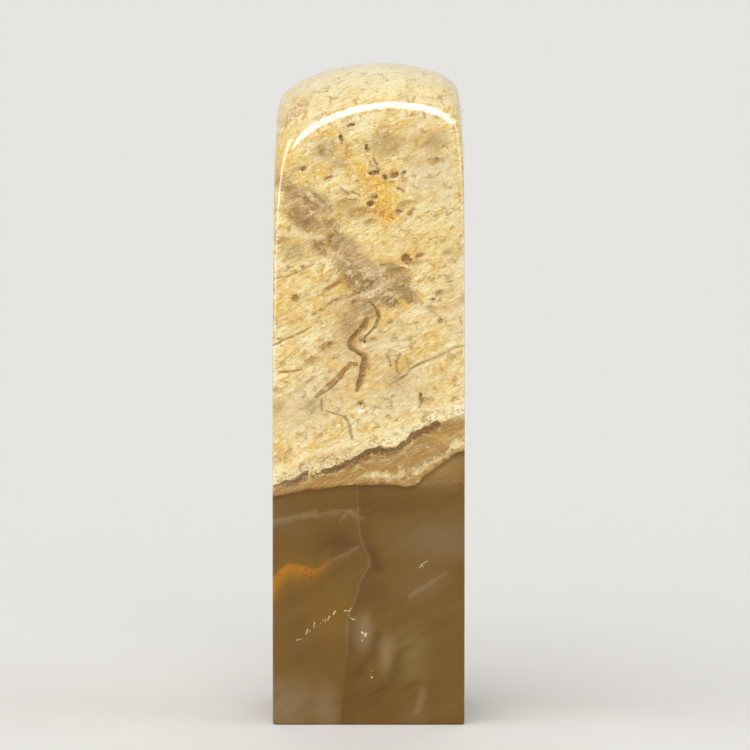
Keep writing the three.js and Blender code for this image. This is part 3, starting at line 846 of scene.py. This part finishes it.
    # Painted shade: brown under the last ridge, just above the foot
    shade_under_ridge = swayed(foot_edge, broad, 2.4)
    cream = paint(tree, cream, BAND_LIGHT, shade_under_ridge, 2.2, 1.4, 0.8)
    cream = paint(tree, cream, BAND, shade_under_ridge, 1.5, 1.2, 0.6)
    wedge = across(WEDGE)
    wedge_tone = paint(tree, linear(WEDGE_BROWN), TAN, wedge[0], 0.4, -1.2)
    cream = paint(tree, cream, wedge_tone, worn(fading_line(tree, wedge), 1.0), 0.4, -0.6, 0.85)
    # The pale crest and the pale lip above the band are the stone's cream, partly painted light on their
    # tops; the ochre crumbs on the lip are painted crumb shadows
    crest = worn(outside(tree, across(UPPER_CREST)), 1.6)
    cream = paint(tree, cream, CREAM_PALE, crest, 0.6, -0.4, 0.5)
    lip = add(tree, "ShaderNodeMath", {0: band[0], 1: 1.0}, operation="SUBTRACT")
    lip = add(tree, "ShaderNodeMath", {0: lip}, operation="ABSOLUTE")
    cream = paint(tree, cream, CREAM_PALE, worn(lip, 1.6), 1.0, 0.2, 0.6)
    cream = paint(tree, cream, OCHRE, swayed(lip, crumbs, -8.0), -3.9, -4.8, 0.7)
    cream = paint(tree, cream, OCHRE, lumps, 0.53, 0.64, 0.5)
    cream = paint(tree, cream, CREAM_PALE, lumps, 0.46, 0.34, 0.3)
    band_tone = paint(tree, linear(BAND), BAND_LIGHT, band[0], -0.1, -1.0)
    uneven_band = swayed(worn(fading_line(tree, band), 2.8), broad, 9.0)
    cream = paint(tree, cream, band_tone, uneven_band, 4.7, 4.1, 0.97)

    # The brown foot, in which a veil is sharp along its upper side and fades out below
    brown = patches(linear(BROWN), FOOT_PATCHES)
    brown = paint(tree, brown, BROWN_GREY, smears, 0.5, 0.66, 0.2)
    brown = paint(tree, brown, BROWN_DARK, smears, 0.48, 0.34, 0.2)
    stain = across(ORANGE_STAIN)
    stain_tone = paint(tree, linear(BROWN_GOLD), STAIN, stain[0], -1.6, 0.9)
    brown = paint(tree, brown, BROWN_GOLD, outside(tree, stain), 2.4, 0.0, 0.5)
    brown = paint(tree, brown, stain_tone, worn(fading_line(tree, stain), 2.0), 0.7, -1.2, 0.9)
    seam = down(FOOT_SEAM)
    right_of_seam = paint(tree, linear(BROWN_DARK), brown, seam[0], 0.0, 3.0)
    brown = paint(tree, brown, right_of_seam, seam[0], -0.1, 0.1, 0.6)
    brown = paint(tree, brown, VEIL, worn(outside(tree, seam), 0.3), 0.2, -0.1, 0.22)
    for points in DARK_FOLDS:
        dark_fold = worn(outside(tree, down(points)), 0.5)
        brown = paint(tree, brown, BROWN_DEEP, dark_fold, 1.0, -0.6, 0.5)
    brown = paint(tree, brown, VEIL, outside(tree, down(PALE_FOLD)), 0.6, -0.3, 0.3)
    for points in VEILS:
        veil = worn(fading_line(tree, across(points)), 0.8)
        brown = paint(tree, brown, VEIL, veil, 0.7, -0.5, 0.36)
    brown = paint(tree, brown, RUST, spots(tree, ragged, RUST_GRAINS), 0.08, -0.06, 0.85)
    brown = paint(tree, brown, BROWN_DEEP, foot_edge, -0.9, -0.05, 0.6)

    # The foot's upper edge, and glints of quartz just under the skin of the foot
    colour = paint(tree, brown, cream, worn(foot_edge, 0.3), -0.06, 0.08)
    colour = paint(tree, colour, GLINT, strokes(tree, near_skin, GLINTS), 0.05, -0.05, 0.75)

    # Relief of the fibres and hollows, which the wax has filled
    hollows = keep_nearest(tree, keep_nearest(tree, ochre_spots, brown_spots),
                           keep_nearest(tree, slits, tan_spots))
    relief = add(tree, "ShaderNodeMapRange", {0: worn(hollows, 0.5), 1: 0.25, 2: -0.45, 3: 0.0, 4: -0.3},
                 interpolation_type="SMOOTHSTEP")
    for noise, amount in ((broad, 0.7), (streaks, 0.12), (lumps, 0.3), (crumbs, 0.08)):
        relief = swayed(relief, noise, amount)
    in_cream = add(tree, "ShaderNodeMapRange", {0: foot_edge, 1: -0.1, 2: 0.2, 3: 0.0, 4: 0.8})
    body_normal = add(tree, "ShaderNodeBump",
                      {"Strength": in_cream, "Distance": RELIEF_HEIGHT * MM, "Height": relief})

    # Painted light and shade: what the bump leans down and to the right is painted browner, as shade, and
    # what it leans up and to the left is painted paler, as light from above left
    skin = add(tree, "ShaderNodeNewGeometry")
    painted_lean = add(tree, "ShaderNodeVectorMath", {0: body_normal, 1: skin.outputs["Normal"]},
               operation="SUBTRACT")
    [painted_lean] = lengths(tree, painted_lean, [PAINTED_LIGHT_FROM])
    colour = paint(tree, colour, SHADED, painted_lean, -0.06, -0.6, 0.4)
    colour = paint(tree, colour, LIT, painted_lean, 0.06, 0.6, 0.35)

    # The grain takes the polish a little unevenly, and the seal face is ground flat and left matt
    polish = add(tree, "ShaderNodeMapRange", {0: lumps, 1: 0.35, 2: 0.65, 3: 0.38, 4: 0.52})
    [height] = lengths(tree, place, [(0, 0, 1)])
    wax = add(tree, "ShaderNodeMapRange",
              {0: height, 1: FACE_EDGE[0], 2: FACE_EDGE[1], 3: FACE_WAX, 4: 1.0},
              interpolation_type="SMOOTHSTEP")

    shader = add(tree, "ShaderNodeBsdfPrincipled", {
        "Base Color": colour,
        "Roughness": polish,
        "IOR": 1.5,
        "Specular IOR Level": 0.05,
        "Normal": body_normal,
        "Subsurface Weight": 0.2,
        "Subsurface Radius": (1.0, 0.6, 0.3),
        "Subsurface Scale": 1.0 * MM,
        "Coat Weight": wax,
        "Coat Roughness": 0.05,
        "Coat IOR": 1.36,
    }, subsurface_method="RANDOM_WALK")
    add(tree, "ShaderNodeOutputMaterial", {"Surface": shader})
    return material


hollow_lumps = bpy.data.textures.new("hollow_lumps", "CLOUDS")
hollow_lumps.noise_scale = LUMP_SIZE * MM

stone = finished_stone()
stone.data.materials.clear()
stone.data.materials.append(waxed_stone())
cut_hollows(stone)
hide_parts("seal_stone")
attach(stone, "root")

# Floor, light and camera

FLOOR_TONE = "#EBE9E5"
BACKDROP_TONE = "#DAD8D4"
SKY_TONE = "#FFFFFF"
SKY_STRENGTH = 0.2  # the soft light that the room itself gives
FLOOR_SIDE = 60.0
SUN_ANGLE = math.radians(60)
SUN_DISTANCE = 1.0
SOFTBOX_DISTANCE = 0.5


def pale_table():
    """A matt painted table top, so pale and plain that it gives only soft shade and no pattern."""
    material, tree = new_material("matt_painted_table")
    shader = add(tree, "ShaderNodeBsdfDiffuse", {"Color": linear(FLOOR_TONE)})
    add(tree, "ShaderNodeOutputMaterial", {"Surface": shader})
    return material


deselect_all()
bpy.ops.mesh.primitive_plane_add(size=FLOOR_SIDE, location=(0, 0, 0))
floor = bpy.context.object
floor.name = "floor"
floor.data.materials.append(pale_table())

world = bpy.context.scene.world = bpy.data.worlds.new("studio")
world.use_nodes = True
sky = world.node_tree
sky.nodes.clear()
rays = add(sky, "ShaderNodeLightPath")
lit = add(sky, "ShaderNodeBackground", {"Color": linear(SKY_TONE), "Strength": SKY_STRENGTH})
seen = add(sky, "ShaderNodeBackground", {"Color": linear(BACKDROP_TONE), "Strength": 1.0})
shown = rays.outputs["Is Camera Ray"]
for other in ("Is Glossy Ray", "Is Transmission Ray"):
    shown = add(sky, "ShaderNodeMath", {0: rays.outputs[other], 1: shown}, operation="MAXIMUM")
mixed = add(sky, "ShaderNodeMixShader", {0: shown, 1: lit, 2: seen})
add(sky, "ShaderNodeOutputWorld", {"Surface": mixed})


def place_lamp(name, data, azimuth, elevation, distance):
    """Azimuth is in degrees from the front to the right, and elevation in degrees up."""
    lamp = bpy.data.objects.new(name, data)
    bpy.context.scene.collection.objects.link(lamp)
    turn, rise = math.radians(azimuth), math.radians(elevation)
    away = Vector((math.sin(turn) * math.cos(rise), -math.cos(turn) * math.cos(rise), math.sin(rise)))
    lamp.location = Vector((0, 0, STONE_HIGH.z / 2)) + away * distance
    lamp.rotation_euler = away.to_track_quat("Z", "Y").to_euler()
    return lamp


# Broad soft light from all round, which shows as no highlight of its own
for name, azimuth, elevation, strength in [
    ("key", -20, 55, 0.7), ("front_fill", -5, 28, 1.2), ("left_fill", -75, 30, 0.8),
    ("right_fill", 75, 30, 0.7), ("back_fill", 180, 30, 1.0),
]:
    lamp = bpy.data.lights.new(name, "SUN")
    lamp.energy = strength
    lamp.angle = SUN_ANGLE
    place_lamp(name, lamp, azimuth, elevation, SUN_DISTANCE).visible_glossy = False

# Softboxes that show only in the polish: the front one draws the bright arc below the crown, and the
# side ones the lines along the upright edges. Sizes are in metres and power in watts.
for name, azimuth, elevation, width, height, power in [
    ("front_softbox", 0, 29, 0.66, 0.12, 6.4),
    ("left_softbox", -64, 12, 0.2, 0.36, 2.8),
    ("right_softbox", 62, 12, 0.2, 0.36, 2.4),
]:
    softbox = bpy.data.lights.new(name, "AREA")
    softbox.shape = "RECTANGLE"
    softbox.size, softbox.size_y, softbox.energy = width, height, power
    place_lamp(name, softbox, azimuth, elevation, SOFTBOX_DISTANCE).visible_diffuse = False

# The camera stands where the photograph was taken from
CAMERA_RISE = math.radians(5.5)
CAMERA_DISTANCE = 0.7
CAMERA_AIM = Vector((0.836, 0, 44.6)) * MM
CAMERA_LENS = 254.9

camera_data = bpy.data.cameras.new("camera")
camera_data.lens = CAMERA_LENS
camera_data.clip_end = 2 * FLOOR_SIDE
camera = bpy.data.objects.new("camera", camera_data)
bpy.context.scene.collection.objects.link(camera)
camera_back = Vector((0, -math.cos(CAMERA_RISE), math.sin(CAMERA_RISE)))
camera.location = CAMERA_AIM + camera_back * CAMERA_DISTANCE
camera.rotation_euler = camera_back.to_track_quat("Z", "Y").to_euler()
bpy.context.scene.camera = camera
bpy.context.scene.view_settings.view_transform = "Standard"
